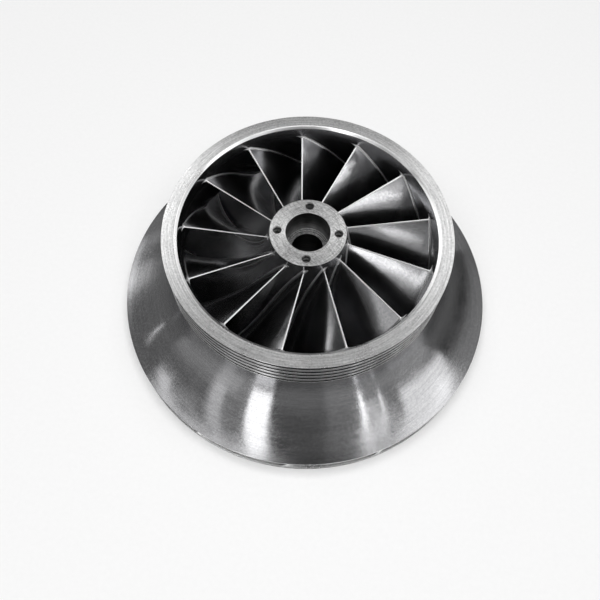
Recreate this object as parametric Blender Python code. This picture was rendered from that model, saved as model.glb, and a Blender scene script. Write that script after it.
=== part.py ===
"""Closed centrifugal impeller: bored hub with its back disc, blades, trumpet cover and eye ring.

The axis is Z, the back face lies on z = 0 and the eye looks up. Angles about the axis are measured
from +Y and grow clockwise as seen from the eye. All sizes are in metres.
"""
import math

import bmesh
import bpy
from mathutils import Vector

BLADE_COUNT = 13
SEGMENTS = 6 * BLADE_COUNT
GAP = 0.0003

# Heights above the back face
DISC_RIM_Z = 0.0030
COVER_UNDERSIDE_Z = 0.0135
COVER_RIM_Z = 0.0162
RING_FOOT_Z = 0.0720
HUB_FACE_Z = 0.0970
RING_TOP_Z = 0.1000

# Radii
RIM_R = 0.1421
RING_R = 0.1000
RING_BORE_R = 0.0895
HUB_FACE_R = 0.0267
COUNTERBORE_R = 0.0155
SEAT_R = 0.0134
BORE_R = 0.0113

# Eye ring and its labyrinth grooves
RING_CHAMFER = 0.0017
GROOVE_COUNT = 5
GROOVE_PITCH = 0.0059
GROOVE_WIDTH = 0.0028
GROOVE_DEPTH = 0.0022
GROOVE_FIRST_LAND = 0.0010

# Flat lip around the cover's rim
LIP_WIDTH = 0.0045
LIP_DROP = 0.0007
FLARE_STEPS = 9

# Hub and its holes
EDGE_BREAK = 0.0005
COUNTERBORE_DEPTH = 0.0195
SEAT_DEPTH = 0.0015
TAPPED_HOLE_COUNT = 4
TAPPED_HOLE_FIRST_ANGLE = math.radians(0.9)
TAPPED_HOLE_CIRCLE_R = 0.0213
TAPPED_HOLE_R = 0.0025
TAPPED_HOLE_MOUTH_R = 0.0031
TAPPED_HOLE_DEPTH = 0.0120
TAPPED_HOLE_SIDES = 16
RECESS_INNER_R = 0.0400
RECESS_OUTER_R = 0.0980
RECESS_DEPTH = 0.0030
RECESS_SLOPE = 0.0030

# Bezier curves that bound the flow path, as (radius, height): the hub side and the cover side
HUB_CURVE = ((0.0281, 0.0912), (0.0325, 0.0600), (0.0560, DISC_RIM_Z), (RIM_R, DISC_RIM_Z))
COVER_CURVE = ((0.0874, 0.0920), (0.0845, 0.0620), (0.1030, 0.0210), (RIM_R, COVER_UNDERSIDE_Z))

# Blade stations run from the leading edge to the exit, closer together at the leading edge
BLADE_STATIONS = 14
STATION_CROWDING = 1.25
BLADE_SPANS = 4
BLADE_EXIT_INSET = 0.0005
CURVE_SAMPLES = 600

# Blade angles from the meridional plane, in degrees: at the inlet, inside the passage, at the exit
HUB_BLADE_ANGLES = (32.9, 6.8, 36.0)
COVER_BLADE_ANGLES = (61.8, 29.8, 36.0)
INLET_TURN_POWER = 4
EXIT_TURN_POWER = 3
BLADE_TIP_START = math.radians(-5.3)
BLADE_ROOT_START = math.radians(-11.3)

# Blade thickness, grown from the leading edge over the first part of the blade
EDGE_THICKNESS = 0.0007
FULL_THICKNESS = 0.0030
THICKENING_LENGTH = 0.30
TIP_THINNING = 0.70


def clear_scene():
    for item in list(bpy.data.objects):
        bpy.data.objects.remove(item, do_unlink=True)


def steel(name, color, roughness):
    material = bpy.data.materials.new(name)
    material.use_nodes = True
    shader = material.node_tree.nodes["Principled BSDF"]
    shader.inputs["Base Color"].default_value = (*color, 1.0)
    shader.inputs["Metallic"].default_value = 1.0
    shader.inputs["Roughness"].default_value = roughness
    return material


def around_axis(radius, angle, height):
    return Vector((radius * math.sin(angle), radius * math.cos(angle), height))


def add_object(name, bm, material, sharp_angle=math.radians(30)):
    bmesh.ops.recalc_face_normals(bm, faces=bm.faces)
    mesh = bpy.data.meshes.new(name)
    bm.to_mesh(mesh)
    bm.free()
    mesh.shade_smooth()
    mesh.set_sharp_from_angle(angle=sharp_angle)
    if material:
        mesh.materials.append(material)
    item = bpy.data.objects.new(name, mesh)
    bpy.context.scene.collection.objects.link(item)
    return item


def turned(name, profile, material, segments=SEGMENTS):
    """Spin a closed profile of (radius, height) points once round the axis."""
    bm = bmesh.new()
    corners = [bm.verts.new((0.0, radius, height)) for radius, height in profile]
    edges = [bm.edges.new((corner, corners[i - 1])) for i, corner in enumerate(corners)]
    bmesh.ops.spin(bm, geom=corners + edges, axis=(0, 0, 1), cent=(0, 0, 0), angle=2 * math.pi,
                   steps=segments, use_merge=True)
    return add_object(name, bm, material)


def bezier(curve, t):
    start, leave, arrive, end = (Vector(point) for point in curve)
    u = 1 - t
    return start * u**3 + leave * 3 * u * u * t + arrive * 3 * u * t * t + end * t**3


def lengths_along(points):
    """Distance from the first point to each point."""
    travelled = [0.0]
    for before, after in zip(points, points[1:]):
        travelled.append(travelled[-1] + (after - before).length)
    return travelled


def point_at(points, travelled, distance):
    """Point at a given distance along a polyline."""
    i = 1
    while i < len(points) - 1 and travelled[i] < distance:
        i += 1
    share = (distance - travelled[i - 1]) / (travelled[i] - travelled[i - 1])
    return points[i - 1].lerp(points[i], share)


def blade_angle(angles, share):
    """Angle between the blade and the meridional plane at a share of the blade's length."""
    inlet, passage, outlet = angles
    turn_in = (inlet - passage) * (1 - share)**INLET_TURN_POWER
    turn_out = (outlet - passage) * share**EXIT_TURN_POWER
    return math.radians(passage + turn_in + turn_out)


def station_shares():
    last = BLADE_STATIONS - 1
    return [(i / last)**STATION_CROWDING for i in range(BLADE_STATIONS)]


def flow_edge(curve, angles, start_angle):
    """Blade stations along one bounding curve, as a list of (point, angle about the axis)."""
    points = [bezier(curve, i / CURVE_SAMPLES) for i in range(CURVE_SAMPLES + 1)]
    travelled = lengths_along(points)
    total = travelled[-1]
    turned_by = [start_angle]
    for i in range(1, len(points)):
        middle = points[i - 1].lerp(points[i], 0.5)
        share = (travelled[i - 1] + travelled[i]) / (2 * total)
        step = travelled[i] - travelled[i - 1]
        turned_by.append(turned_by[-1] + math.tan(blade_angle(angles, share)) / middle.x * step)
    turns = [Vector((turn, 0.0)) for turn in turned_by]
    stations = []
    for share in station_shares():
        point = point_at(points, travelled, share * total)
        stations.append((point, point_at(turns, travelled, share * total).x))
    return stations


def shifted(points, distance):
    """Polyline moved sideways; a positive distance moves it to the left of its direction."""
    moved = []
    for i, point in enumerate(points):
        along = (points[min(i + 1, len(points) - 1)] - points[max(i - 1, 0)]).normalized()
        moved.append(point + Vector((-along.y, along.x)) * distance)
    return moved


def eye_ring(cover_line, material):
    """Ring round the eye: grooved outside, chamfered mouth, bore that runs into the cover."""
    profile = [(RING_BORE_R + RING_CHAMFER, RING_TOP_Z), (RING_R, RING_TOP_Z)]
    for i in range(GROOVE_COUNT):
        top = RING_TOP_Z - GROOVE_FIRST_LAND - i * GROOVE_PITCH
        floor_r = RING_R - GROOVE_DEPTH
        bottom = top - GROOVE_WIDTH
        profile += [(RING_R, top), (floor_r, top), (floor_r, bottom), (RING_R, bottom)]
    profile += [(RING_R, RING_FOOT_Z), (radius_at(cover_line, RING_FOOT_Z), RING_FOOT_Z)]
    profile += [tuple(point) for point in reversed(cover_line) if point.y > RING_FOOT_Z + GAP]
    profile.append((RING_BORE_R, RING_TOP_Z - RING_CHAMFER))
    return turned("eye_ring", profile, material)


def radius_at(line, height):
    """Radius where a polyline that runs downwards passes a height."""
    for upper, lower in zip(line, line[1:]):
        if upper.y >= height >= lower.y:
            return upper.lerp(lower, (upper.y - height) / (upper.y - lower.y)).x
    raise ValueError("height outside the line")


def cover(cover_line, material):
    """Trumpet shell from the ring's foot to the rim; its outside is one arc and a narrow lip."""
    top = RING_FOOT_Z - GAP
    arc_end_r = RIM_R - LIP_WIDTH
    arc_end_z = COVER_RIM_Z + LIP_DROP
    turn = 2 * math.atan2(arc_end_r - RING_R, top - arc_end_z)
    arc_r = (top - arc_end_z) / math.sin(turn)
    profile = []
    for i in range(FLARE_STEPS + 1):
        angle = turn * i / FLARE_STEPS
        profile.append((RING_R + arc_r * (1 - math.cos(angle)), top - arc_r * math.sin(angle)))
    profile.append((RIM_R, COVER_RIM_Z))
    profile += [tuple(point) for point in reversed(cover_line) if point.y < top - GAP]
    profile.append((radius_at(cover_line, top), top))
    return turned("cover", profile, material)


def hub(hub_line, material):
    """Hub, nose and back disc in one piece, with a stepped bore and a relieved back."""
    counterbore_floor = HUB_FACE_Z - COUNTERBORE_DEPTH
    recess_top_inner = RECESS_INNER_R + RECESS_SLOPE
    recess_top_outer = RECESS_OUTER_R - RECESS_SLOPE
    profile = [
        (BORE_R, EDGE_BREAK),
        (BORE_R + EDGE_BREAK, 0.0),
        (RECESS_INNER_R, 0.0),
        (recess_top_inner, RECESS_DEPTH),
        (recess_top_outer, RECESS_DEPTH),
        (RECESS_OUTER_R, 0.0),
        (RIM_R, 0.0),
    ]
    profile += [tuple(point) for point in reversed(hub_line)]
    profile += [
        (HUB_FACE_R, HUB_FACE_Z - EDGE_BREAK),
        (HUB_FACE_R - EDGE_BREAK, HUB_FACE_Z),
        (COUNTERBORE_R + EDGE_BREAK, HUB_FACE_Z),
        (COUNTERBORE_R, HUB_FACE_Z - EDGE_BREAK),
        (COUNTERBORE_R, counterbore_floor),
        (SEAT_R, counterbore_floor),
        (SEAT_R, counterbore_floor - SEAT_DEPTH),
        (BORE_R, counterbore_floor - SEAT_DEPTH),
    ]
    return turned("hub", profile, material)


def tapped_hole_cutter(index):
    """Blind drilled hole with a countersunk mouth and a drill-point end."""
    mouth_depth = TAPPED_HOLE_MOUTH_R - TAPPED_HOLE_R
    rings = [
        (TAPPED_HOLE_MOUTH_R + GAP, GAP),
        (TAPPED_HOLE_R, -mouth_depth),
        (TAPPED_HOLE_R, -TAPPED_HOLE_DEPTH),
    ]
    bm = bmesh.new()
    loops = []
    for radius, height in rings:
        angles = [2 * math.pi * i / TAPPED_HOLE_SIDES for i in range(TAPPED_HOLE_SIDES)]
        loops.append([bm.verts.new(around_axis(radius, angle, height)) for angle in angles])
    point = bm.verts.new((0.0, 0.0, -TAPPED_HOLE_DEPTH - TAPPED_HOLE_R / 2))
    bm.faces.new(loops[0])
    for i in range(TAPPED_HOLE_SIDES):
        for upper, lower in zip(loops, loops[1:]):
            bm.faces.new((upper[i - 1], upper[i], lower[i], lower[i - 1]))
        bm.faces.new((loops[-1][i - 1], loops[-1][i], point))
    item = add_object(f"tapped_hole_cutter_{index + 1}", bm, None)
    angle = TAPPED_HOLE_FIRST_ANGLE + 2 * math.pi * index / TAPPED_HOLE_COUNT
    item.location = around_axis(TAPPED_HOLE_CIRCLE_R, angle, HUB_FACE_Z)
    item.hide_render = True
    item.display_type = "WIRE"
    return item


def cut(item, cutter):
    modifier = item.modifiers.new(cutter.name, "BOOLEAN")
    modifier.operation = "DIFFERENCE"
    modifier.solver = "EXACT"
    modifier.object = cutter


def blade_thickness(share, span):
    """Thickness across the blade at a share of its length and of its span from the hub."""
    grown = math.sin(min(share / THICKENING_LENGTH, 1.0) * math.pi / 2)
    thickness = EDGE_THICKNESS + (FULL_THICKNESS - EDGE_THICKNESS) * grown
    return thickness * (1 - (1 - TIP_THINNING) * span)


def mean_surface(hub_edge, cover_edge):
    """Grid of points on the blade's mean surface, straight from the hub to the cover."""
    grid = []
    for (root, root_angle), (tip, tip_angle) in zip(hub_edge, cover_edge):
        root_point = around_axis(root.x, root_angle, root.y)
        tip_point = around_axis(tip.x, tip_angle, tip.y)
        grid.append([root_point.lerp(tip_point, j / BLADE_SPANS) for j in range(BLADE_SPANS + 1)])
    return grid


def surface_normal(grid, i, j):
    along = grid[min(i + 1, len(grid) - 1)][j] - grid[max(i - 1, 0)][j]
    across = grid[i][min(j + 1, BLADE_SPANS)] - grid[i][max(j - 1, 0)]
    return along.cross(across).normalized()


def blade_sides(grid):
    """Both faces of the blade, each turned about the axis by half of the blade's thickness."""
    sides = ([], [])
    for i, share in enumerate(station_shares()):
        for side in sides:
            side.append([])
        for j, point in enumerate(grid[i]):
            radius = math.hypot(point.x, point.y)
            angle = math.atan2(point.x, point.y)
            sideways = Vector((math.cos(angle), -math.sin(angle), 0.0))
            facing = abs(surface_normal(grid, i, j).dot(sideways))
            half_turn = blade_thickness(share, j / BLADE_SPANS) / (2 * facing * radius)
            sides[0][i].append(around_axis(radius, angle - half_turn, point.z))
            sides[1][i].append(around_axis(radius, angle + half_turn, point.z))
    return sides


def blade_mesh(sides):
    """Closed skin over the two faces, with the four edges joined."""
    bm = bmesh.new()
    back, front = ([[bm.verts.new(point) for point in row] for row in side] for side in sides)
    last_station = BLADE_STATIONS - 1
    for i in range(last_station):
        for j in range(BLADE_SPANS):
            bm.faces.new((back[i][j], back[i][j + 1], back[i + 1][j + 1], back[i + 1][j]))
            bm.faces.new((front[i][j], front[i + 1][j], front[i + 1][j + 1], front[i][j + 1]))
        for j in (0, BLADE_SPANS):
            bm.faces.new((back[i][j], back[i + 1][j], front[i + 1][j], front[i][j]))
    for j in range(BLADE_SPANS):
        for i in (0, last_station):
            bm.faces.new((back[i][j], front[i][j], front[i][j + 1], back[i][j + 1]))
    return bm


def blades(hub_edge, cover_edge, material):
    """Equal blades round the hub, sharing one mesh."""
    first = add_object("blade_01", blade_mesh(blade_sides(mean_surface(hub_edge, cover_edge))), material)
    for i in range(1, BLADE_COUNT):
        blade = bpy.data.objects.new(f"blade_{i + 1:02d}", first.data)
        blade.rotation_euler.z = -2 * math.pi * i / BLADE_COUNT
        bpy.context.scene.collection.objects.link(blade)


def inset_edge(edge, distance):
    """Blade edge held off its bounding curve, with its last station drawn in from the rim."""
    line = shifted([point for point, angle in edge], distance)
    line[-1].x = RIM_R - BLADE_EXIT_INSET
    return [(point, angle) for point, (old, angle) in zip(line, edge)]


def build():
    clear_scene()
    turned_steel = steel("turned_steel", (0.62, 0.62, 0.62), 0.30)
    satin_steel = steel("satin_steel", (0.40, 0.40, 0.41), 0.28)
    blade_steel = steel("blade_steel", (0.34, 0.34, 0.35), 0.22)
    hub_edge = flow_edge(HUB_CURVE, HUB_BLADE_ANGLES, BLADE_ROOT_START)
    cover_edge = flow_edge(COVER_CURVE, COVER_BLADE_ANGLES, BLADE_TIP_START)
    hub_line = [point for point, angle in hub_edge]
    cover_line = [point for point, angle in cover_edge]
    eye_ring(cover_line, turned_steel)
    cover(cover_line, satin_steel)
    body = hub(hub_line, turned_steel)
    for i in range(TAPPED_HOLE_COUNT):
        cut(body, tapped_hole_cutter(i))
    blades(inset_edge(hub_edge, GAP), inset_edge(cover_edge, -2 * GAP), blade_steel)


build()
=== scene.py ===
"""Finished look of the closed impeller: turned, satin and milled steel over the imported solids.

The axis is Z, the back face lies on z = 0 and the eye looks up. Angles about the axis are measured
from +Y and grow clockwise as seen from the eye. All sizes are in metres.
"""

import math

import bmesh
import bpy
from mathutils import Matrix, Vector


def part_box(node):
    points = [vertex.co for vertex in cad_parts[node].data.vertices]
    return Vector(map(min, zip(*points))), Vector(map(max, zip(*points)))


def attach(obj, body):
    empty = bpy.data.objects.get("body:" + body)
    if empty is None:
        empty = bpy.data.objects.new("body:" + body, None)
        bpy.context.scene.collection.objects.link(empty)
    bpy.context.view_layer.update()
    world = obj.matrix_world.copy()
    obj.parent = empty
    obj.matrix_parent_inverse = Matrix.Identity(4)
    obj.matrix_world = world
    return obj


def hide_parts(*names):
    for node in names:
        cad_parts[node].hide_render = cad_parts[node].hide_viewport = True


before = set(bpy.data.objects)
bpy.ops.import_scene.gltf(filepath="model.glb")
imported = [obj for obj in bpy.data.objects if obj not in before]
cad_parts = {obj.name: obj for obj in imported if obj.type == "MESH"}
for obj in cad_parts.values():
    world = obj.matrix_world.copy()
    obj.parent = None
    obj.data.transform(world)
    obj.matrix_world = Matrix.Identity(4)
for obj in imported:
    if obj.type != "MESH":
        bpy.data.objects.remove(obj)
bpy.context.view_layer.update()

# Driving sizes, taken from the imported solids
HUB_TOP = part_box("hub")[1]
RING_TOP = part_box("eye_ring")[1]
BLADE_COUNT = sum(node.startswith("blade_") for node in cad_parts)
RIM_R = HUB_TOP.y
RING_R = RING_TOP.y
HUB_FACE_Z = HUB_TOP.z
RING_TOP_Z = RING_TOP.z

# Turned pieces have a whole number of segments for each blade
TURNING_SEGMENTS = 24 * BLADE_COUNT
SHARP_ANGLE = math.radians(40)

# Gap that the solids leave at a seam, and how far a blade is let into the hub and the cover
SEAM = 0.0003
EMBED = 0.0003

# Other heights above the back face
DISC_RIM_Z = 0.0030
COVER_UNDERSIDE_Z = 0.0135
COVER_RIM_Z = 0.0162
RING_FOOT_Z = 0.0720

# Other radii
RING_BORE_R = 0.0895
HUB_FACE_R = 0.0267
COUNTERBORE_R = 0.0155
SEAT_R = 0.0134
BORE_R = 0.0113

# Roundings of turned edges: none takes more than a share of the faces beside it, and each has a
# support point on both sides, in roundings from the corner
CRISP = 0.00015
BROKEN = 0.0004
GROOVE_ROUNDING = 0.0003
MOUTH_ROUNDING = 0.0010
ROUNDING_STEPS = 4
ROUNDING_SHARE = 0.3
SUPPORT_REACH = 1.5

# Eye ring and its labyrinth grooves
RING_CHAMFER = 0.0017
GROOVE_COUNT = 5
GROOVE_PITCH = 0.0059
GROOVE_WIDTH = 0.0028
GROOVE_DEPTH = 0.0022
GROOVE_FIRST_LAND = 0.0010

# Cover's flare, and the narrow lip around its rim
FLARE_STEPS = 48
LIP_WIDTH = 0.0024
LIP_DROP = 0.0008
LIP_BLEND = 0.0010

# Hub and its holes
BRIGHT_RIM_WIDTH = 0.0040
COUNTERBORE_DEPTH = 0.0195
SEAT_DEPTH = 0.0015
RECESS_INNER_R = 0.0400
RECESS_OUTER_R = 0.0980
RECESS_DEPTH = 0.0030
RECESS_SLOPE = 0.0030
TAPPED_HOLE_COUNT = 4
TAPPED_HOLE_FIRST_ANGLE = math.radians(0.9)
TAPPED_HOLE_CIRCLE_R = 0.0213
TAPPED_HOLE_R = 0.0025
TAPPED_HOLE_MOUTH_R = 0.0031
TAPPED_HOLE_DEPTH = 0.0120
TAPPED_HOLE_SIDES = 40
THREAD_PITCH = 0.0010
THREAD_START = 2 * THREAD_PITCH
THREAD_LENGTH = TAPPED_HOLE_DEPTH - THREAD_START - THREAD_PITCH
THREAD_HEIGHT = 0.00022
THREAD_STEPS_PER_TURN = 24
THREAD_RIDGE_SIDES = 4

# Bezier curves that bound the flow path, as (radius, height): the hub side and the cover side
HUB_CURVE = ((0.0281, 0.0912), (0.0325, 0.0600), (0.0560, DISC_RIM_Z), (RIM_R, DISC_RIM_Z))
COVER_CURVE = ((0.0874, 0.0920), (0.0845, 0.0620), (0.1030, 0.0210), (RIM_R, COVER_UNDERSIDE_Z))
CURVE_SAMPLES = 600
FLOW_PROFILE_STEPS = 72

# Blade stations run from the leading edge to the exit, closer together at the leading edge
BLADE_STATIONS = 52
STATION_CROWDING = 1.5
BLADE_EXIT_INSET = 0.0005

# Blade angles from the meridional plane, in degrees: at the inlet, inside the passage, at the exit
HUB_BLADE_ANGLES = (32.9, 6.8, 36.0)
COVER_BLADE_ANGLES = (61.8, 29.8, 36.0)
INLET_TURN_POWER = 4
EXIT_TURN_POWER = 3
BLADE_TIP_START = math.radians(-5.3)
BLADE_ROOT_START = math.radians(-11.3)

# Blade thickness, grown from the leading edge over the first part of the blade
EDGE_THICKNESS = 0.0006
FULL_THICKNESS = 0.0030
THICKENING_LENGTH = 0.30
TIP_THINNING = 0.70
EDGE_BREAK = 0.00010

# A blade's faces are set off sideways, round the axis: further where it slants, down to this slope
LEAST_SLOPE = 0.3

# Fillets where a blade meets the hub and the cover
FILLET_R = 0.0014
FILLET_STEPS = 6
FILLET_CROWDING = 1.6
SPAN_STEPS = 12
FILLET_EDGE_REACH = 0.0040

# Dressing by hand, also painted near white as a highlight: 1 on cut edges, which fade where they run
# into a fillet, and less in the fillets, where it grows this much faster than they rise
FILLET_DRESSED_GLINT = 0.6
DRESSED_GLINT_REACH = 2.5
CUT_FADE = 0.8

# Parts of a face's normal, upwards or away from the axis, by which finishes are given out
FACES_UP = 0.9
NEARLY_LEVEL = 0.98
FACES_DOWN = -0.3
FACES_INWARDS = -0.8

# Hand scratches lie on the hub's nose only, which is nearer to the origin than the ring's top, and
# their directions are in radians
HATCHED_REACH = 0.1020
HATCH_FADED_REACH = 1.1 * HATCHED_REACH
HATCH_ANGLES = (0.75, 1.0, 2.5)
STROKE_SOFTNESS = 0.08

# Stretches of a noise's range, from faint to strong contrast
FAINT = (0.2, 0.8)
CLEAR = (0.3, 0.7)
STRONG = (0.35, 0.65)

# Tint of cooler steels, and the quarter turn that sets the gloss across the tool rings
COOL = 0.01
ACROSS_RINGS = 0.25

# Camera of the photo, fitted to the ring, the hub's nose and the rim; its turns are in degrees
CAMERA_LENS = 37.12
CAMERA_PLACE = (0.0, -0.22709, 0.45987)
CAMERA_TURNS = (25.713, -0.840, 2.743)

# Upright soft boxes: name, what they light, azimuth, width, lowest and highest elevation, brightness
BOX_DISTANCE = 3.0
EYE_LEVEL = 0.05
UPRIGHT_BOXES = (
    ("front_room", "shell", 10, 46, -60, 62, 0.08),
    ("front_right_room", "shell", 24, 18, -60, 62, 0.11),
    ("front_left_window", "shell", -22, 12, -30, 62, 2.3),
    ("front_left_floor", "shell", -24, 17, -62, -30, 0.15),
    ("left_gap", "shell", -39, 24, -62, 62, 0.25),
    ("left_slit", "shell", -45, 7, -12, 58, 0.55),
    ("left_window", "shell", -76, 9, 28, 66, 1.1),
    ("left_streak", "cover", -90.5, 0.8, -6, 26, 1.6),
    ("left_wall", "shell", -90, 84, -10, 60, 0.14),
    ("left_floor", "shell", -58, 44, -62, -10, 0.22),
    ("far_left_slit", "shell", -117, 8, 0, 45, 0.37),
    ("far_left_back", "shell", -134, 14, 0, 60, 0.23),
    ("front_right_slit", "shell", 38, 9, -4, 58, 0.75),
    ("thin_slit", "cover", 34.5, 1.0, -24, 44, 5.0),
    ("thin_slit_top", "cover", 39.5, 1.0, 43, 61, 5.0),
    ("thin_slit_right", "cover", 45.0, 0.8, -12, 50, 4.0),
    ("right_gap", "shell", 47, 12, 16, 60, 0.52),
    ("right_window", "shell", 70, 29, 0, 62, 1.30),
    ("right_window_top", "shell", 83, 12, 30, 62, 1.0),
    ("right_floor", "shell", 58, 50, -60, 14, 0.21),
    ("right_wall", "shell", 108, 44, 15, 60, 0.28),
    ("far_right_back", "shell", 138, 16, -30, 30, 0.25),
    ("rim_window_left", "cover", -62, 14, 30, 62, 0.25),
    ("rim_window_far_left", "cover", -124, 16, 27, 62, 1.3),
    ("chamfer_window_left", "ring", -118, 68, -10, 24, 1.7),
    ("chamfer_window_right", "ring", 118, 76, -10, 20, 1.2),
    ("blade_front_room", "blades", 8, 56, 6, 62, 0.27),
    ("blade_window_left", "blades", -25, 8, -4, 46, 3.1),
    ("blade_window_left_top", "blades", -30, 14, 46, 64, 2.2),
    ("blade_slit", "blades", 17, 5, 29, 44, 2.7),
    ("blade_window_right", "blades", 63, 11, 4, 40, 1.9),
    ("blade_window_right_top", "blades", 70, 10, 38, 50, 0.6),
    ("blade_slit_right", "blades", 100, 7, 3, 22, 2.7),
    ("blade_slit_right_middle", "blades", 105, 7, 20, 29, 3.7),
    ("blade_wall_left", "blades", -78, 36, 33, 60, 0.68),
    ("blade_wall_left_low", "blades", -61, 8, 16, 40, 0.40),
    ("blade_wall_right", "blades", 60, 36, 0, 60, 0.42),
    ("blade_streak_left", "blades", -105, 4, 8, 22, 2.4),
    ("blade_back_left", "blades", -140, 36, 20, 40, 1.3),
    ("blade_back_right", "blades", 140, 36, 20, 40, 1.6),
    ("blade_far_right", "blades", 100, 36, 40, 60, 1.7),
)
# Soft boxes overhead: name, what they light, azimuth, elevation, width, length, brightness
OVERHEAD_BOXES = (
    ("front_ceiling", "turned", 0, 78, 40, 20, 2.2),
    ("back_ceiling", "turned", 180, 60, 60, 24, 0.54),
    ("back_window", "turned", 180, 40, 40, 20, 0.30),
    ("back_left_ceiling", "turned", -140, 45, 30, 30, 1.08),
    ("back_right_ceiling", "turned", 140, 45, 30, 30, 1.04),
    ("hub_back_window", "hub", 180, 40, 50, 30, 0.32),
    ("left_ceiling", "shell", -62, 68, 40, 20, 0.78),
    ("right_ceiling", "shell", 92, 67, 40, 20, 0.40),
    ("rim_ceiling_left", "cover", -80, 64, 34, 20, 0.38),
    ("rim_ceiling_right", "cover", 75, 66, 30, 20, 0.29),
    ("rim_floor", "rim", 0, -81, 60, 12, 1.8),
    ("blade_ceiling", "blades", 180, 59, 46, 18, 1.8),
)
# Dim room, the floor's bounce below the horizon, and the floor with the power of its own box
ROOM = 0.04
BOUNCE = 0.16
FULL_BOUNCE_BELOW = -0.25
FLOOR_R = 4.0
FLOOR_SIDES = 96
PAPER_LIGHT = 134


# Shapes

def around_axis(radius, angle, height):
    return Vector((radius * math.sin(angle), radius * math.cos(angle), height))


def shade(mesh):
    """Smooth shading with sharp edges kept."""
    mesh.shade_smooth()
    mesh.set_sharp_from_angle(angle=SHARP_ANGLE)


def make_piece(name, bm):
    """Mesh object at the origin with faces outwards, smooth but for its sharp edges."""
    bmesh.ops.recalc_face_normals(bm, faces=bm.faces)
    mesh = bpy.data.meshes.new(name)
    bm.to_mesh(mesh)
    bm.free()
    shade(mesh)
    piece = bpy.data.objects.new(name, mesh)
    bpy.context.scene.collection.objects.link(piece)
    return piece


def rounded(corners):
    """Closed outline from (radius, height, rounding) corners, with a support point beside each arc."""
    outline = []
    for i, (radius, height, rounding) in enumerate(corners):
        corner = Vector((radius, height))
        if not rounding:
            outline.append(corner)
            continue
        to_before = Vector(corners[i - 1][:2]) - corner
        to_after = Vector(corners[(i + 1) % len(corners)][:2]) - corner
        reach = min(rounding, ROUNDING_SHARE * min(to_before.length, to_after.length))
        start = to_before.normalized() * reach
        end = to_after.normalized() * reach
        outline.append(corner + start * SUPPORT_REACH)
        for k in range(ROUNDING_STEPS + 1):
            share = k / ROUNDING_STEPS
            outline.append(corner + start * (1 - share)**2 + end * share**2)
        outline.append(corner + end * SUPPORT_REACH)
    return outline


def turned(name, corners):
    """Closed outline carried once round the axis."""
    outline = rounded(corners)
    bm = bmesh.new()
    rings = []
    for i in range(TURNING_SEGMENTS):
        angle = 2 * math.pi * i / TURNING_SEGMENTS
        rings.append([bm.verts.new(around_axis(point.x, angle, point.y)) for point in outline])
    for i, ring in enumerate(rings):
        before = rings[i - 1]
        for k in range(len(outline)):
            bm.faces.new((before[k - 1], before[k], ring[k], ring[k - 1]))
    return make_piece(name, bm)


def bezier(curve, share):
    """Point at a share of the curve, from its two ends and the two points that steer it."""
    start, leave, arrive, end = (Vector(point) for point in curve)
    rest = 1 - share
    steered = leave * 3 * rest**2 * share + arrive * 3 * rest * share**2
    return start * rest**3 + steered + end * share**3


def lengths_along(points):
    """Distance from the first point to each point."""
    travelled = [0.0]
    for before, after in zip(points, points[1:]):
        travelled.append(travelled[-1] + (after - before).length)
    return travelled


def point_at(points, travelled, distance):
    """Point at a given distance along a polyline."""
    i = 1
    while i < len(points) - 1 and travelled[i] < distance:
        i += 1
    share = (distance - travelled[i - 1]) / (travelled[i] - travelled[i - 1])
    return points[i - 1].lerp(points[i], share)


def radius_at(line, height):
    """Radius where a polyline that runs downwards passes a height."""
    for upper, lower in zip(line, line[1:]):
        if upper.y >= height >= lower.y:
            return upper.lerp(lower, (upper.y - height) / (upper.y - lower.y)).x
    raise ValueError("height outside the line")


def smooth_corners(points):
    return [(point.x, point.y, 0) for point in points]


def eye_ring(cover_line):
    """Ring round the eye: grooved outside, chamfered mouth, bore that runs into the cover."""
    corners = [(RING_BORE_R + RING_CHAMFER, RING_TOP_Z, MOUTH_ROUNDING), (RING_R, RING_TOP_Z, CRISP)]
    for i in range(GROOVE_COUNT):
        top = RING_TOP_Z - GROOVE_FIRST_LAND - i * GROOVE_PITCH
        floor_r = RING_R - GROOVE_DEPTH
        bottom = top - GROOVE_WIDTH
        corners += [
            (RING_R, top, CRISP),
            (floor_r, top, GROOVE_ROUNDING),
            (floor_r, bottom, GROOVE_ROUNDING),
            (RING_R, bottom, CRISP),
        ]
    corners += [(RING_R, RING_FOOT_Z, CRISP), (radius_at(cover_line, RING_FOOT_Z), RING_FOOT_Z, 0)]
    corners += smooth_corners(point for point in reversed(cover_line) if point.y > RING_FOOT_Z + SEAM)
    corners.append((RING_BORE_R, RING_TOP_Z - RING_CHAMFER, BROKEN))
    return turned("grooved_eye_ring", corners)


def cover(cover_line):
    """Trumpet shell from the ring's foot to the rim; its outside is one arc and a narrow lip."""
    top = RING_FOOT_Z
    arc_end_r = RIM_R - LIP_WIDTH
    arc_end_z = COVER_RIM_Z + LIP_DROP
    turn = 2 * math.atan2(arc_end_r - RING_R, top - arc_end_z)
    arc_r = (top - arc_end_z) / math.sin(turn)
    corners = []
    for i in range(FLARE_STEPS + 1):
        angle = turn * i / FLARE_STEPS
        across = RING_R + arc_r * (1 - math.cos(angle))
        corners.append((across, top - arc_r * math.sin(angle), 0))
    corners[-1] = (arc_end_r, arc_end_z, LIP_BLEND)
    corners += [(RIM_R, COVER_RIM_Z, CRISP), (RIM_R, COVER_UNDERSIDE_Z, CRISP)]
    corners += smooth_corners([point for point in reversed(cover_line) if point.y < top - SEAM][1:])
    corners.append((radius_at(cover_line, top), top, 0))
    return turned("flared_cover", corners)


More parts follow.
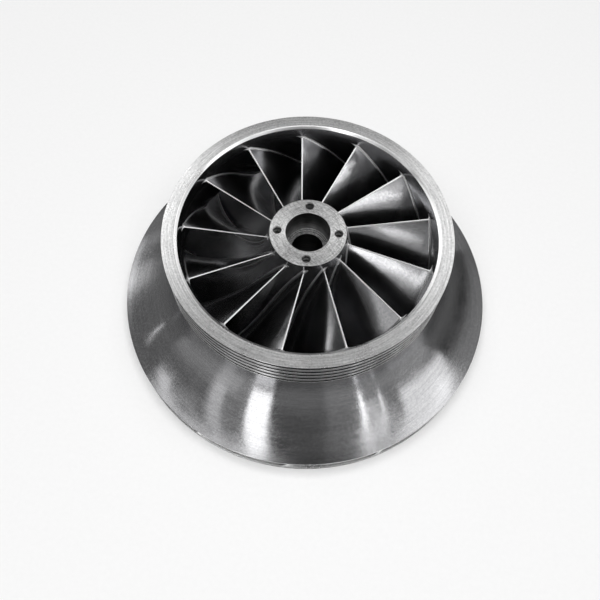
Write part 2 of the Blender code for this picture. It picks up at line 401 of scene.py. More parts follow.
def hub_body(hub_line):
    """Hub, nose and back disc in one piece, with a stepped bore and a relieved back."""
    floor = HUB_FACE_Z - COUNTERBORE_DEPTH
    step_r = (COUNTERBORE_R + SEAT_R) / 2
    corners = [
        (BORE_R, 0.0, BROKEN),
        (RECESS_INNER_R, 0.0, BROKEN),
        (RECESS_INNER_R + RECESS_SLOPE, RECESS_DEPTH, BROKEN),
        (RECESS_OUTER_R - RECESS_SLOPE, RECESS_DEPTH, BROKEN),
        (RECESS_OUTER_R, 0.0, BROKEN),
        (RIM_R, 0.0, BROKEN),
        (RIM_R, DISC_RIM_Z, CRISP),
    ]
    corners += smooth_corners(list(reversed(hub_line))[1:])
    corners += [
        (HUB_FACE_R, HUB_FACE_Z, BROKEN),
        (COUNTERBORE_R, HUB_FACE_Z, BROKEN),
        (COUNTERBORE_R, floor, CRISP),
        (step_r, floor, 0),
        (step_r, floor - SEAT_DEPTH / 2, CRISP),
        (SEAT_R, floor - SEAT_DEPTH / 2, CRISP),
        (SEAT_R, floor - SEAT_DEPTH, CRISP),
        (BORE_R, floor - SEAT_DEPTH, CRISP),
    ]
    return turned("bored_hub", corners)


def tapped_hole_cutter(angle):
    """Blind drilled hole with a countersunk mouth and a drill-point end."""
    mouth_depth = TAPPED_HOLE_MOUTH_R - TAPPED_HOLE_R
    rings = [
        (TAPPED_HOLE_MOUTH_R + SEAM, SEAM),
        (TAPPED_HOLE_R, -mouth_depth),
        (TAPPED_HOLE_R, -TAPPED_HOLE_DEPTH),
    ]
    bm = bmesh.new()
    centre = around_axis(TAPPED_HOLE_CIRCLE_R, angle, HUB_FACE_Z)
    turns = [2 * math.pi * i / TAPPED_HOLE_SIDES for i in range(TAPPED_HOLE_SIDES)]
    loops = []
    for radius, height in rings:
        loops.append([bm.verts.new(centre + around_axis(radius, turn, height)) for turn in turns])
    drill_point = Vector((0.0, 0.0, -TAPPED_HOLE_DEPTH - TAPPED_HOLE_R / 2))
    point = bm.verts.new(centre + drill_point)
    bm.faces.new(loops[0])
    for i in range(TAPPED_HOLE_SIDES):
        for upper, lower in zip(loops, loops[1:]):
            bm.faces.new((upper[i - 1], upper[i], lower[i], lower[i - 1]))
        bm.faces.new((loops[-1][i - 1], loops[-1][i], point))
    return make_piece("tapped_hole_cutter", bm)


def tapped_hole_angles():
    step = 2 * math.pi / TAPPED_HOLE_COUNT
    return [TAPPED_HOLE_FIRST_ANGLE + step * i for i in range(TAPPED_HOLE_COUNT)]


def drill(piece):
    """Cut the tapped holes into the piece, and remove the cutters."""
    cutters = []
    for angle in tapped_hole_angles():
        cutter = tapped_hole_cutter(angle)
        modifier = piece.modifiers.new(cutter.name, "BOOLEAN")
        modifier.operation = "DIFFERENCE"
        modifier.solver = "EXACT"
        modifier.object = cutter
        cutters.append(cutter)
    keep_result(piece)
    for cutter in cutters:
        bpy.data.objects.remove(cutter)
    shade(piece.data)


def keep_result(piece):
    """Turn what the modifiers make into the piece's own mesh, and remove them."""
    graph = bpy.context.evaluated_depsgraph_get()
    mesh = bpy.data.meshes.new_from_object(piece.evaluated_get(graph), depsgraph=graph)
    piece.modifiers.clear()
    piece.data = mesh


# Blades

def blade_angle(angles, share):
    """Angle between the blade and the meridional plane at a share of the blade's length."""
    inlet, passage, outlet = angles
    turn_in = (inlet - passage) * (1 - share)**INLET_TURN_POWER
    turn_out = (outlet - passage) * share**EXIT_TURN_POWER
    return math.radians(passage + turn_in + turn_out)


def station_shares():
    last = BLADE_STATIONS - 1
    return [(i / last)**STATION_CROWDING for i in range(BLADE_STATIONS)]


def flow_edge(curve, angles, start_angle, shares):
    """Stations along one bounding curve, as a list of (point, angle about the axis)."""
    points = [bezier(curve, i / CURVE_SAMPLES) for i in range(CURVE_SAMPLES + 1)]
    travelled = lengths_along(points)
    total = travelled[-1]
    turned_by = [start_angle]
    for i in range(1, len(points)):
        middle = points[i - 1].lerp(points[i], 0.5)
        share = (travelled[i - 1] + travelled[i]) / (2 * total)
        step = travelled[i] - travelled[i - 1]
        turned_by.append(turned_by[-1] + math.tan(blade_angle(angles, share)) / middle.x * step)
    turns = [Vector((turn, 0.0)) for turn in turned_by]
    stations = []
    for share in shares:
        point = point_at(points, travelled, share * total)
        stations.append((point, point_at(turns, travelled, share * total).x))
    return stations


def blade_thickness(share, span):
    """Thickness across the blade at a share of its length and of its span from the hub."""
    grown = math.sin(min(share / THICKENING_LENGTH, 1.0) * math.pi / 2)
    thickness = EDGE_THICKNESS + (FULL_THICKNESS - EDGE_THICKNESS) * grown
    return thickness * (1 - (1 - TIP_THINNING) * span)


def inset_edge(edge, distance):
    """Blade edge moved across its bounding curve, with its last station drawn in from the rim."""
    points = [point for point, angle in edge]
    moved = []
    for i, (point, angle) in enumerate(edge):
        along = (points[min(i + 1, len(points) - 1)] - points[max(i - 1, 0)]).normalized()
        moved.append((point + Vector((-along.y, along.x)) * distance, angle))
    moved[-1][0].x = RIM_R - BLADE_EXIT_INSET
    return moved


def fillet(distance):
    """How far the fillet stands out at a distance from the surface that the blade meets."""
    if distance >= FILLET_R:
        return 0.0
    return FILLET_R - math.sqrt(FILLET_R**2 - (FILLET_R - max(distance, 0.0))**2)


def span_rows(length):
    """Distances from the root along the blade's span, close together in both fillets."""
    shares = [(i / FILLET_STEPS)**FILLET_CROWDING for i in range(FILLET_STEPS + 1)]
    near = [0.0] + [EMBED + FILLET_R * share for share in shares]
    inner = length - 2 * near[-1]
    middle = [near[-1] + inner * i / SPAN_STEPS for i in range(1, SPAN_STEPS)]
    return near + middle + [length - distance for distance in reversed(near)]


def blade_rows(hub_edge, cover_edge):
    """Blade points as rows along the flow: [row][station] = (mean point, half thickness, fillet)."""
    shares = station_shares()
    columns = []
    for share, (root, root_angle), (tip, tip_angle) in zip(shares, hub_edge, cover_edge):
        root_point = around_axis(root.x, root_angle, root.y)
        tip_point = around_axis(tip.x, tip_angle, tip.y)
        length = (tip_point - root_point).length
        column = []
        for distance in span_rows(length):
            swell = fillet(distance - EMBED) + fillet(length - distance - EMBED)
            half = blade_thickness(share, distance / length) / 2
            column.append((root_point.lerp(tip_point, distance / length), half, swell))
        columns.append(column)
    return [list(row) for row in zip(*columns)]


def section(row, root_row, tip_row):
    """Closed loop round one blade section, down one face and back up the other.

    Each point comes with its distance from the leading edge and with its dressing, which is also a
    painted highlight: 1 on the cut edges, less where they run out into a fillet, FILLET_DRESSED_GLINT
    in the fillets and 0 on the milled faces.
    """
    points = [point for point, half, swell in row]
    flow = (points[1] - points[0]).normalized()
    swell_at_edge = row[0][2]
    travelled = lengths_along(points)
    last = len(row) - 1
    sides = ([], [])
    for i, (point, half, swell) in enumerate(row):
        along = points[min(i + 1, last)] - points[max(i - 1, 0)]
        across = tip_row[i][0] - root_row[i][0]
        normal = along.cross(across).normalized()
        forward = flow * swell_at_edge * max(0.0, 1 - travelled[i] / FILLET_EDGE_REACH)**2
        sideways = Vector((point.y, -point.x, 0.0)).normalized()
        reach = (half + swell) / max(abs(normal.dot(sideways)), LEAST_SLOPE)
        dressed_glint = FILLET_DRESSED_GLINT * min(1.0, DRESSED_GLINT_REACH * swell / FILLET_R)
        cut_dressed_glint = 1.0 - CUT_FADE * min(1.0, swell / FILLET_R)
        for side, sign in zip(sides, (-1, 1)):
            face_point = point - forward + sideways * reach * sign
            cut = (face_point - sideways * EDGE_BREAK * sign, travelled[i], cut_dressed_glint)
            if i == 0:
                side += [cut, (face_point + flow * EDGE_BREAK, 0.0, cut_dressed_glint)]
            elif i == last:
                inward = (points[last - 1] - point).normalized()
                side += [(face_point + inward * EDGE_BREAK, travelled[i], cut_dressed_glint), cut]
            else:
                side.append((face_point, travelled[i], dressed_glint))
    return sides[1] + sides[0][::-1]


def blade(name, rows):
    """Closed blade skin from its section loops, with a UV map that runs along the flow."""
    bm = bmesh.new()
    flow_map = bm.loops.layers.uv.new("flow")
    dressed_glint_layer = bm.verts.layers.float.new("dressed_glint")
    place = {}
    loops = []
    for row in rows:
        height = (row[0][0] - rows[0][0][0]).length
        loop = []
        for point, distance, dressed_glint in section(row, rows[0], rows[-1]):
            vertex = bm.verts.new(point)
            vertex[dressed_glint_layer] = dressed_glint
            place[vertex] = (distance, height)
            loop.append(vertex)
        loops.append(loop)
    for lower, upper in zip(loops, loops[1:]):
        for i in range(len(lower)):
            bm.faces.new((lower[i - 1], lower[i], upper[i], upper[i - 1]))
    half_way = len(loops[0]) // 2
    for loop in (loops[0], loops[-1]):
        for i in range(half_way - 1):
            far = len(loop) - 1 - i
            bm.faces.new((loop[i], loop[i + 1], loop[far - 1], loop[far]))
    for face in bm.faces:
        for corner in face.loops:
            corner[flow_map].uv = place[corner.vert]
    return make_piece(name, bm)


# Geometry Nodes

def new_tree(name, inputs):
    tree = bpy.data.node_groups.new(name, "GeometryNodeTree")
    tree.interface.new_socket("Geometry", in_out="INPUT", socket_type="NodeSocketGeometry")
    for label, socket_type in inputs:
        tree.interface.new_socket(label, in_out="INPUT", socket_type=socket_type)
    tree.interface.new_socket("Geometry", in_out="OUTPUT", socket_type="NodeSocketGeometry")
    return tree


def end_tree(tree, geometry):
    """Close a tree: plain geometry from any instances, with the given material on it."""
    node, link = tree.nodes.new, tree.links.new
    real = node("GeometryNodeRealizeInstances")
    link(geometry, real.inputs["Geometry"])
    finish = node("GeometryNodeSetMaterial")
    link(real.outputs["Geometry"], finish.inputs["Geometry"])
    link(node("NodeGroupInput").outputs["Material"], finish.inputs["Material"])
    link(finish.outputs["Geometry"], node("NodeGroupOutput").inputs["Geometry"])


def run_tree(piece, tree, values):
    """Run a tree on a piece with values by input name, and keep the plain mesh it makes."""
    modifier = piece.modifiers.new(tree.name, "NODES")
    modifier.node_group = tree
    for socket in tree.interface.items_tree:
        if socket.in_out == "INPUT" and socket.name in values:
            modifier[socket.identifier] = values[socket.name]
    keep_result(piece)


def thread_tree():
    """Screw thread ridges in holes spaced evenly round the axis."""
    tree = new_tree("tapped_threads", [
        ("Hole Count", "NodeSocketInt"),
        ("First Angle", "NodeSocketFloat"),
        ("Circle Radius", "NodeSocketFloat"),
        ("Hole Radius", "NodeSocketFloat"),
        ("Depth", "NodeSocketFloat"),
        ("Pitch", "NodeSocketFloat"),
        ("Ridge", "NodeSocketFloat"),
        ("Face Height", "NodeSocketFloat"),
        ("Material", "NodeSocketMaterial"),
    ])
    node, link = tree.nodes.new, tree.links.new
    given = node("NodeGroupInput").outputs

    turns = node("ShaderNodeMath")
    turns.operation = "DIVIDE"
    link(given["Depth"], turns.inputs[0])
    link(given["Pitch"], turns.inputs[1])
    spiral = node("GeometryNodeCurveSpiral")
    spiral.inputs["Resolution"].default_value = THREAD_STEPS_PER_TURN
    link(turns.outputs[0], spiral.inputs["Rotations"])
    link(given["Hole Radius"], spiral.inputs["Start Radius"])
    link(given["Hole Radius"], spiral.inputs["End Radius"])
    link(given["Depth"], spiral.inputs["Height"])
    ridge = node("GeometryNodeCurvePrimitiveCircle")
    ridge.inputs["Resolution"].default_value = THREAD_RIDGE_SIDES
    link(given["Ridge"], ridge.inputs["Radius"])
    sweep = node("GeometryNodeCurveToMesh")
    sweep.inputs["Fill Caps"].default_value = True
    link(spiral.outputs["Curve"], sweep.inputs["Curve"])
    link(ridge.outputs["Curve"], sweep.inputs["Profile Curve"])

    centres = node("GeometryNodeMeshCircle")
    link(given["Hole Count"], centres.inputs["Vertices"])
    link(given["Circle Radius"], centres.inputs["Radius"])
    turn = node("ShaderNodeCombineXYZ")
    link(given["First Angle"], turn.inputs["Z"])
    lift = node("ShaderNodeCombineXYZ")
    base = node("ShaderNodeMath")
    base.operation = "SUBTRACT"
    link(given["Face Height"], base.inputs[0])
    link(given["Depth"], base.inputs[1])
    link(base.outputs[0], lift.inputs["Z"])
    placed = node("GeometryNodeTransform")
    link(centres.outputs["Mesh"], placed.inputs["Geometry"])
    link(turn.outputs[0], placed.inputs["Rotation"])
    link(lift.outputs[0], placed.inputs["Translation"])

    copies = node("GeometryNodeInstanceOnPoints")
    link(placed.outputs["Geometry"], copies.inputs["Points"])
    link(sweep.outputs["Mesh"], copies.inputs["Instance"])
    end_tree(tree, copies.outputs["Instances"])
    return tree


def place_on_wheel_tree():
    """One blade turned to its place on the wheel."""
    tree = new_tree("place_on_wheel", [
        ("Turn", "NodeSocketFloat"),
        ("Material", "NodeSocketMaterial"),
    ])
    node, link = tree.nodes.new, tree.links.new
    given = node("NodeGroupInput").outputs
    turn = node("ShaderNodeCombineXYZ")
    link(given["Turn"], turn.inputs["Z"])
    placed = node("GeometryNodeTransform")
    link(given["Geometry"], placed.inputs["Geometry"])
    link(turn.outputs[0], placed.inputs["Rotation"])
    end_tree(tree, placed.outputs["Geometry"])
    return tree


# Finishes

def grey(value, cool=0.0):
    return (value, value, value + cool)


class Finish:
    """A material's node tree, with short calls for the nodes that steel needs."""

    def __init__(self, name, metallic=1.0):
        self.material = bpy.data.materials.new(name)
        self.material.use_nodes = True
        self.tree = self.material.node_tree
        self.shader = self.tree.nodes["Principled BSDF"]
        self.shader.inputs["Metallic"].default_value = metallic
        self.place = self.tree.nodes.new("ShaderNodeTexCoord").outputs["Object"]

    def surface(self, colour, roughness, relief=None):
        """Give the shader its colour, roughness and fine relief, and return the material."""
        self.feed(self.shader.inputs["Base Color"], colour)
        self.feed(self.shader.inputs["Roughness"], roughness)
        if relief is not None:
            self.feed(self.shader.inputs["Normal"], relief)
        return self.material

    def ringed(self, anisotropy):
        """Stretch the gloss across the tool rings, as on anything that was turned."""
        self.shader.inputs["Anisotropic"].default_value = anisotropy
        self.shader.inputs["Anisotropic Rotation"].default_value = ACROSS_RINGS
        around = self.vector("CROSS_PRODUCT", (0.0, 0.0, 1.0), self.place)
        self.feed(self.shader.inputs["Tangent"], self.vector("NORMALIZE", around))

    def feed(self, socket, value):
        if isinstance(value, bpy.types.NodeSocket):
            self.tree.links.new(value, socket)
        else:
            socket.default_value = value

    def operate(self, operation, first, second):
        node = self.tree.nodes.new("ShaderNodeMath")
        node.operation = operation
        self.feed(node.inputs[0], first)
        self.feed(node.inputs[1], second)
        return node.outputs[0]

    def plus(self, first, second):
        return self.operate("ADD", first, second)

    def times(self, first, second):
        return self.operate("MULTIPLY", first, second)

    def over(self, first, second):
        return self.operate("DIVIDE", first, second)

    def vector(self, operation, first, second=None):
        node = self.tree.nodes.new("ShaderNodeVectorMath")
        node.operation = operation
        self.feed(node.inputs[0], first)
        if second is not None:
            self.feed(node.inputs[1], second)
        return node.outputs["Value"] if operation == "LENGTH" else node.outputs["Vector"]

    def split(self, vector):
        node = self.tree.nodes.new("ShaderNodeSeparateXYZ")
        self.feed(node.inputs[0], vector)
        return node.outputs["X"], node.outputs["Y"], node.outputs["Z"]

    def join(self, x, y, z):
        node = self.tree.nodes.new("ShaderNodeCombineXYZ")
        for socket, value in zip(node.inputs, (x, y, z)):
            self.feed(socket, value)
        return node.outputs[0]

    def turned_place(self, angle):
        node = self.tree.nodes.new("ShaderNodeMapping")
        node.inputs["Rotation"].default_value = (0.0, 0.0, angle)
        self.feed(node.inputs["Vector"], self.place)
        return node.outputs["Vector"]

    def facing_up(self):
        normal = self.tree.nodes.new("ShaderNodeNewGeometry").outputs["Normal"]
        return self.split(normal)[2]

    def noise(self, scale, detail, roughness=0.5, vector=None, w=None):
        """Noise over the piece, or over another vector and a fourth value."""
        node = self.tree.nodes.new("ShaderNodeTexNoise")
        if w is not None:
            node.noise_dimensions = "4D"
            self.feed(node.inputs["W"], w)
        self.feed(node.inputs["Vector"], self.place if vector is None else vector)
        node.inputs["Scale"].default_value = scale
        node.inputs["Detail"].default_value = detail
        node.inputs["Roughness"].default_value = roughness
        return node.outputs["Fac"]

    def spread(self, value, between, onto=(0.0, 1.0)):
        """Stretch a value's range from two values onto two others, and hold it there."""
        node = self.tree.nodes.new("ShaderNodeMapRange")
        self.feed(node.inputs["Value"], value)
        for label, end in zip(("From Min", "From Max", "To Min", "To Max"), between + onto):
            self.feed(node.inputs[label], end)
        return node.outputs["Result"]

    def blend(self, share, first, second):
        """Mix of two colours, each a tuple or a socket."""
        node = self.tree.nodes.new("ShaderNodeMix")
        node.data_type = "RGBA"
        self.feed(node.inputs["Factor"], share)
        for label, colour in (("A", first), ("B", second)):
            self.feed(node.inputs[label], (*colour, 1.0) if isinstance(colour, tuple) else colour)
        return node.outputs["Result"]

    def bump(self, height, distance, below=None):
        node = self.tree.nodes.new("ShaderNodeBump")
        node.inputs["Distance"].default_value = distance
        self.feed(node.inputs["Height"], height)
        if below is not None:
            self.feed(node.inputs["Normal"], below)
        return node.outputs["Normal"]

    def mixed(self, *parts):
        """Sum of (value, weight) pairs, held between 0 and 1."""
        total = 0.0
        for value, weight in parts:
            total = self.plus(total, self.times(value, weight))
        total.node.use_clamp = True
        return total

    def waves(self, scale, distance):
        """Slow unevenness of a hand-polished surface."""
        return self.bump(self.noise(scale, detail=1.0), distance)

    def tool_marks(self, width, wander):
        """Fine rings left by a lathe tool, all round the axis, on flat faces and on walls alike."""
        x, y, z = self.split(self.place)
        flat = self.join(x, y, 0.0)
        radius = self.vector("LENGTH", flat)
        around = self.vector("MULTIPLY", self.vector("NORMALIZE", flat), (wander,) * 3)
        shift = self.vector("ADD", around, self.join(0.0, 0.0, self.over(z, width)))
        return self.noise(1.0, detail=3.0, vector=shift, w=self.over(radius, width))

    def scratches(self, angle, width, length, share):
        """Fine straight strokes in one direction; share says how much of the surface they take."""
        x, y, z = self.split(self.turned_place(angle))
        strokes = self.join(self.over(x, length), self.over(y, width), self.over(z, length))
        bare = 1.0 - share
        return self.spread(self.noise(1.0, detail=1.0, vector=strokes), (bare, bare + STROKE_SOFTNESS))


def turned_steel(name, darkest, lightest):
    """Bright lathe-turned steel: rings, dull speckle, and hand scratches on the hub's nose."""
    steel = Finish(name)
    steel.ringed(0.7)
    rings = steel.tool_marks(width=0.0009, wander=1.6)
    arcs = steel.tool_marks(width=0.0006, wander=18.0)
    smudge = steel.noise(38.0, detail=4.0, roughness=0.6)
    speckle = steel.noise(700.0, detail=3.0, roughness=0.7)

    hatch = 0.0
    for angle in HATCH_ANGLES:
        hatch = steel.plus(hatch, steel.scratches(angle, width=0.0006, length=0.009, share=0.42))
    level = steel.spread(steel.facing_up(), (0.8, 0.95))
    from_origin = steel.vector("LENGTH", steel.place)
    on_nose = steel.spread(from_origin, (HATCHED_REACH, HATCH_FADED_REACH), onto=(1.0, 0.0))
    hatch = steel.times(steel.times(hatch, level), on_nose)

    tone = steel.mixed(
        (steel.spread(rings, STRONG), 0.35),
        (steel.spread(arcs, CLEAR), 0.36),
        (steel.spread(speckle, STRONG), 0.32),
        (hatch, -0.30),
    )
    return steel.surface(
        colour=steel.blend(tone, grey(darkest), grey(lightest)),
        roughness=steel.spread(smudge, (0.25, 0.75), onto=(0.24, 0.36)),
        relief=steel.bump(hatch, 0.000004, below=steel.bump(rings, 0.000016)),
    )


def satin_steel():
    """Darker cover steel, brushed round the axis, with cloudy patches and a fine grain."""
    steel = Finish("satin_cover_steel")
    steel.ringed(0.93)
    fine = steel.tool_marks(width=0.0008, wander=1.6)
    arcs = steel.tool_marks(width=0.0008, wander=11.0)
    broad = steel.tool_marks(width=0.0040, wander=0.5)
    cloud = steel.noise(22.0, detail=6.0, roughness=0.62)
    speckle = steel.noise(650.0, detail=3.0, roughness=0.7)
    tone = steel.mixed(
        (steel.spread(fine, STRONG), 0.13),
        (steel.spread(arcs, STRONG), 0.14),
        (steel.spread(broad, CLEAR), 0.12),
        (steel.spread(cloud, CLEAR), 0.31),
        (steel.spread(speckle, STRONG), 0.30),
    )
    gloss = steel.mixed((cloud, 0.65), (speckle, 0.35))
    return steel.surface(
        colour=steel.blend(tone, grey(0.29, COOL), grey(0.67, COOL)),
        roughness=steel.spread(gloss, (0.38, 0.62), onto=(0.14, 0.26)),
        relief=steel.bump(fine, 0.000003, below=steel.waves(34.0, 0.00003)),
    )


def blade_steel():
    """Milled blade steel: dark, hand-polished along the flow; near white on cut edges and in fillets,
    from their dressing and as a painted highlight.
    """
    steel = Finish("milled_blade_steel")
    flow = steel.tree.nodes.new("ShaderNodeUVMap")
    flow.uv_map = "flow"
    along, across = steel.split(flow.outputs["UV"])[:2]
    lines = steel.join(steel.over(along, 0.03), steel.over(across, 0.0007), 0.0)
    milled = steel.noise(1.0, detail=2.0, vector=lines)
    smudge = steel.noise(45.0, detail=4.0, roughness=0.6)
    speckle = steel.noise(650.0, detail=3.0, roughness=0.7)
    # Dressing on cut edges and fillets, which also paints a near-white highlight there
    dressed_glint = steel.tree.nodes.new("ShaderNodeAttribute")
    dressed_glint.attribute_name = "dressed_glint"
    edge = dressed_glint.outputs["Fac"]

    tone = steel.mixed((steel.spread(smudge, FAINT), 0.5), (steel.spread(speckle, STRONG), 0.5))
    face = steel.blend(tone, grey(0.36, COOL), grey(0.58, COOL))
    gloss = steel.spread(smudge, FAINT, onto=(0.15, 0.25))
    dull = steel.times(edge, steel.spread(edge, (FILLET_DRESSED_GLINT, 1.0), onto=(0.50, 0.12)))
    return steel.surface(
        colour=steel.blend(steel.spread(edge, (0.0, FILLET_DRESSED_GLINT)), face, grey(0.95)),
        roughness=steel.plus(gloss, dull),
        relief=steel.bump(milled, 0.0000015, below=steel.waves(60.0, 0.00010)),
    )


def passage_steel():
    """Smooth dark steel inside the flow passages and on the ring's inner wall."""
    steel = Finish("polished_passage_steel")
    steel.ringed(0.4)
    smudge = steel.noise(40.0, detail=4.0, roughness=0.6)
    rings = steel.tool_marks(width=0.0007, wander=1.0)
    return steel.surface(
        colour=steel.blend(steel.spread(smudge, FAINT), grey(0.30, COOL), grey(0.45, COOL)),
        roughness=steel.spread(smudge, FAINT, onto=(0.14, 0.24)),
        relief=steel.bump(rings, 0.000004),
    )


def painted_shade_steel(name, darkest, lightest):
    """Dull dark steel that paints shade in the bore, the tapped holes and the grooves."""
    steel = Finish(name)
    rings = steel.tool_marks(width=0.0010, wander=1.0)
    film = steel.noise(160.0, detail=4.0, roughness=0.6)
    tone = steel.mixed((steel.spread(film, CLEAR), 0.5), (steel.spread(rings, CLEAR), 0.5))
    return steel.surface(
        colour=steel.blend(tone, grey(darkest), grey(lightest)),
        roughness=steel.spread(film, CLEAR, onto=(0.30, 0.45)),
        relief=steel.bump(rings, 0.000010),
    )


def floor_paper():
    paper = Finish("pale_paper", metallic=0.0)
    grain = paper.noise(300.0, detail=3.0)
    return paper.surface(colour=paper.blend(grain, grey(0.88), grey(0.92)), roughness=0.9)


# Camera, light and floor

def camera():
    data = bpy.data.cameras.new("camera")
    data.lens = CAMERA_LENS
    item = bpy.data.objects.new("camera", data)
    item.location = CAMERA_PLACE
    item.rotation_euler = [math.radians(angle) for angle in CAMERA_TURNS]
    bpy.context.scene.collection.objects.link(item)
    bpy.context.scene.camera = item


def soft_box(name, place, towards, width, height, brightness, lit):
    """Rectangular soft box that lights only one collection and isn't seen by the camera."""
    data = bpy.data.lights.new(name, "AREA")
    data.shape = "RECTANGLE"
    data.size, data.size_y = width, height
    data.energy = math.pi * width * height * brightness
    item = bpy.data.objects.new(name, data)
    item.location = place
    item.rotation_euler = towards.to_track_quat("Z", "Y").to_euler()
    item.visible_camera = False
    item.light_linking.receiver_collection = lit
    bpy.context.scene.collection.objects.link(item)
    return item


def direction(azimuth, elevation):
    """Unit vector away from the part: azimuth 0 is in front, 90 on the right, in degrees."""
    turn = math.radians(azimuth)
    lift = math.radians(elevation)
    return Vector((math.sin(turn) * math.cos(lift), -math.cos(turn) * math.cos(lift), math.sin(lift)))


def rise(elevation):
    """Height that an elevation reaches at the boxes' distance."""
    return BOX_DISTANCE * math.tan(math.radians(elevation))


def span(angle):
    """Size that a box needs to fill an angle."""
    return 2 * rise(angle / 2)


def upright_box(name, azimuth, width, low, high, brightness, lit):
    """Upright soft box between two elevations."""
    bottom, top = rise(low), rise(high)
    towards = direction(azimuth, 0)
    place = towards * BOX_DISTANCE + Vector((0.0, 0.0, EYE_LEVEL + (top + bottom) / 2))
    return soft_box(name, place, towards, span(width), top - bottom, brightness, lit)


def overhead_box(name, azimuth, elevation, width, length, brightness, lit):
    """Soft box overhead that faces the part."""
    towards = direction(azimuth, elevation)
    place = towards * BOX_DISTANCE + Vector((0.0, 0.0, EYE_LEVEL))
    return soft_box(name, place, towards, span(width), span(length), brightness, lit)


def surroundings():
    """Dim grey room with the pale paper's bounce below."""
    world = bpy.data.worlds.new("studio")
    world.use_nodes = True
    nodes, link = world.node_tree.nodes, world.node_tree.links.new
    outlook = nodes.new("ShaderNodeTexCoord")
    split = nodes.new("ShaderNodeSeparateXYZ")
    bounce = nodes.new("ShaderNodeMapRange")
    ends = {"From Min": FULL_BOUNCE_BELOW, "From Max": 0.0, "To Min": BOUNCE, "To Max": ROOM}
    for label, value in ends.items():
        bounce.inputs[label].default_value = value
    link(outlook.outputs["Generated"], split.inputs[0])
    link(split.outputs["Z"], bounce.inputs["Value"])
    nodes["Background"].inputs["Color"].default_value = (1.0, 1.0, 1.0, 1.0)
    link(bounce.outputs["Result"], nodes["Background"].inputs["Strength"])
    bpy.context.scene.world = world


def paper_floor():
    """Pale round floor with a soft box of its own, which leaves the part's reflections alone."""
    bm = bmesh.new()
    bmesh.ops.create_circle(bm, cap_ends=True, segments=FLOOR_SIDES, radius=FLOOR_R)
    floor = make_piece("floor", bm)
    finish_all(floor, floor_paper())
    floor.visible_glossy = False
    box = overhead_box("paper_box", azimuth=0, elevation=84, width=60, length=60, brightness=1.0,
                       lit=group("paper", [floor]))
    box.data.energy = PAPER_LIGHT
    box.visible_glossy = False


def group(name, pieces):
    """Collection that a soft box can be limited to."""
    lit = bpy.data.collections.new(name)
    for piece in pieces:
        lit.objects.link(piece)
    return lit


def studio(hub, ring, shell, blades):
    bpy.context.scene.view_settings.view_transform = "Standard"
    surroundings()
    paper_floor()
    lit = {
        "hub": group("hub", [hub]),
        "ring": group("ring", [ring]),
        "cover": group("cover", [shell]),
        "rim": group("rim", [shell, *blades]),
        "turned": group("turned", [hub, ring]),
        "shell": group("shell", [hub, ring, shell]),
        "blades": group("blades", blades),
    }
    for name, what, azimuth, width, low, high, brightness in UPRIGHT_BOXES:
        upright_box(name, azimuth, width, low, high, brightness, lit[what])
    for name, what, azimuth, elevation, width, length, brightness in OVERHEAD_BOXES:
        overhead_box(name, azimuth, elevation, width, length, brightness, lit[what])


# Assembly

def dress(piece, node):
    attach(piece, "root")
    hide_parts(node)


def finish_all(piece, material):
    """Give every face of the piece the same finish."""
    piece.data.materials.clear()
    piece.data.materials.append(material)


def finish_where(piece, material, test):
    """Give the faces whose centre and normal pass a test another finish."""
    materials = piece.data.materials
    if material.name not in materials:
        materials.append(material)
    index = materials.find(material.name)
    for face in piece.data.polygons:
        if test(face.center, face.normal):
            face.material_index = index


def from_axis(place):
    return math.hypot(place.x, place.y)


def in_bore(place, normal):
    return from_axis(place) < COUNTERBORE_R + CRISP and place.z < HUB_FACE_Z - BROKEN


def on_seat(place, normal):
    return in_bore(place, normal) and normal.z > FACES_UP


def in_deep_bore(place, normal):
    seat_z = HUB_FACE_Z - COUNTERBORE_DEPTH - SEAT_DEPTH
    return from_axis(place) < BORE_R + CRISP and place.z < seat_z


def in_tapped_hole(place, normal):
    hole_end_z = HUB_FACE_Z - TAPPED_HOLE_DEPTH - TAPPED_HOLE_R
    if not hole_end_z < place.z < HUB_FACE_Z - CRISP:
        return False
    centres = [around_axis(TAPPED_HOLE_CIRCLE_R, angle, place.z) for angle in tapped_hole_angles()]
    return min((place - centre).length for centre in centres) < TAPPED_HOLE_MOUTH_R


def in_passage(place, normal):
    """On the hub's flow side, below its nose and short of the rim."""
    flow_side = DISC_RIM_Z - CRISP < place.z < HUB_FACE_Z - 2 * BROKEN
    return flow_side and HUB_FACE_R - CRISP < from_axis(place) < RIM_R - BRIGHT_RIM_WIDTH


def facing_in(place, normal):
    """On an inner wall, or under the cover."""
    outward = (place.x * normal.x + place.y * normal.y) / from_axis(place)
    return outward < FACES_INWARDS or normal.z < FACES_DOWN


def on_mouth(place, normal):
    """On the rounded edge and the chamfer at the ring's mouth, which get a painted highlight."""
    inside = from_axis(place) < RING_BORE_R + RING_CHAMFER + MOUTH_ROUNDING
    return inside and place.z > RING_TOP_Z - RING_CHAMFER and normal.z < NEARLY_LEVEL


def in_groove(place, normal):
    below_top = place.z < RING_TOP_Z - GROOVE_FIRST_LAND / 2
    return below_top and RING_R - 1.5 * GROOVE_DEPTH < from_axis(place) < RING_R - CRISP


def merge(piece, other):
    """Add the other piece's mesh to the first piece's, and remove the other."""
    bm = bmesh.new()
    bm.from_mesh(piece.data)
    bm.from_mesh(other.data)
    bm.to_mesh(piece.data)
    bm.free()
    bpy.data.objects.remove(other)
    shade(piece.data)


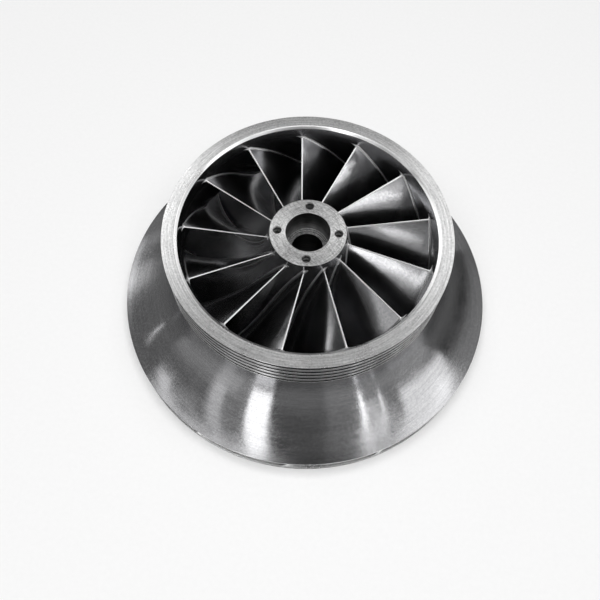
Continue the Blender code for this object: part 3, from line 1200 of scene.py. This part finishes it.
def finished_hub(hub_line, steel):
    """Hub with drilled and threaded holes: bright where turned, satin in the passages, painted shade
    inside.
    """
    hub = hub_body(hub_line)
    drill(hub)
    threads = make_piece("threads", bmesh.new())
    run_tree(threads, thread_tree(), {
        "Hole Count": TAPPED_HOLE_COUNT,
        "First Angle": -TAPPED_HOLE_FIRST_ANGLE,
        "Circle Radius": TAPPED_HOLE_CIRCLE_R,
        "Hole Radius": TAPPED_HOLE_R,
        "Depth": THREAD_LENGTH,
        "Pitch": THREAD_PITCH,
        "Ridge": THREAD_HEIGHT,
        "Face Height": HUB_FACE_Z - THREAD_START,
        "Material": steel["bright"],
    })
    merge(hub, threads)
    finish_all(hub, steel["bright"])
    finish_where(hub, steel["satin"], in_passage)
    # Painted shade: dark steel down the counterbore and the deep bore; the seat that faces up stays
    # bright
    finish_where(hub, steel["bore_shade"], in_bore)
    finish_where(hub, steel["bright"], on_seat)
    finish_where(hub, steel["dark"], in_deep_bore)
    # Painted shade inside the tapped holes, lighter than in the bore
    finish_where(hub, steel["threaded"], in_tapped_hole)
    dress(hub, "hub")
    return hub


def finished_cover(cover_line, steel):
    """Cover: satin outside, polished inside."""
    shell = cover(cover_line)
    finish_all(shell, steel["satin"])
    finish_where(shell, steel["polished"], facing_in)
    dress(shell, "cover")
    return shell


def finished_ring(cover_line, steel):
    """Eye ring: bright outside, polished inside, a painted highlight at its mouth, painted shade in
    its grooves.
    """
    ring = eye_ring(cover_line)
    finish_all(ring, steel["bright"])
    finish_where(ring, steel["polished"], facing_in)
    # Painted highlight along the mouth's rounded edge and chamfer
    finish_where(ring, steel["mouth"], on_mouth)
    # Painted shade inside the grooves
    finish_where(ring, steel["dark"], in_groove)
    dress(ring, "eye_ring")
    return ring


def finished_blades(steel):
    """Equal blades, each turned to its own place on the wheel."""
    shares = station_shares()
    hub_edge = flow_edge(HUB_CURVE, HUB_BLADE_ANGLES, BLADE_ROOT_START, shares)
    cover_edge = flow_edge(COVER_CURVE, COVER_BLADE_ANGLES, BLADE_TIP_START, shares)
    rows = blade_rows(inset_edge(hub_edge, -EMBED), inset_edge(cover_edge, EMBED))
    wheel = place_on_wheel_tree()
    blades = []
    for i in range(BLADE_COUNT):
        piece = blade(f"milled_blade_{i + 1:02d}", rows)
        run_tree(piece, wheel, {"Turn": -2 * math.pi * i / BLADE_COUNT, "Material": steel["milled"]})
        dress(piece, f"blade_{i + 1:02d}")
        blades.append(piece)
    return blades


def build():
    """Make the finishes, the pieces that replace the solids, and the studio round them."""
    steel = {
        "bright": turned_steel("turned_steel", darkest=0.34, lightest=0.98),
        # A near-white copy of the turned steel, as a painted highlight along the ring's mouth
        "mouth": turned_steel("painted_highlight_mouth_steel", darkest=0.90, lightest=1.00),
        "satin": satin_steel(),
        "milled": blade_steel(),
        "polished": passage_steel(),
        # Dark copies of one steel, as painted shade in the bore, the grooves and the tapped holes
        "bore_shade": painted_shade_steel("painted_shade_bore_steel", darkest=0.03, lightest=0.15),
        "dark": painted_shade_steel("painted_shade_groove_steel", darkest=0.03, lightest=0.12),
        "threaded": painted_shade_steel("painted_shade_thread_steel", darkest=0.08, lightest=0.42),
    }
    even = [i / FLOW_PROFILE_STEPS for i in range(FLOW_PROFILE_STEPS + 1)]
    hub_line = [point for point, angle in flow_edge(HUB_CURVE, HUB_BLADE_ANGLES, 0.0, even)]
    cover_line = [point for point, angle in flow_edge(COVER_CURVE, COVER_BLADE_ANGLES, 0.0, even)]
    hub = finished_hub(hub_line, steel)
    shell = finished_cover(cover_line, steel)
    ring = finished_ring(cover_line, steel)
    blades = finished_blades(steel)
    camera()
    studio(hub, ring, shell, blades)


build()
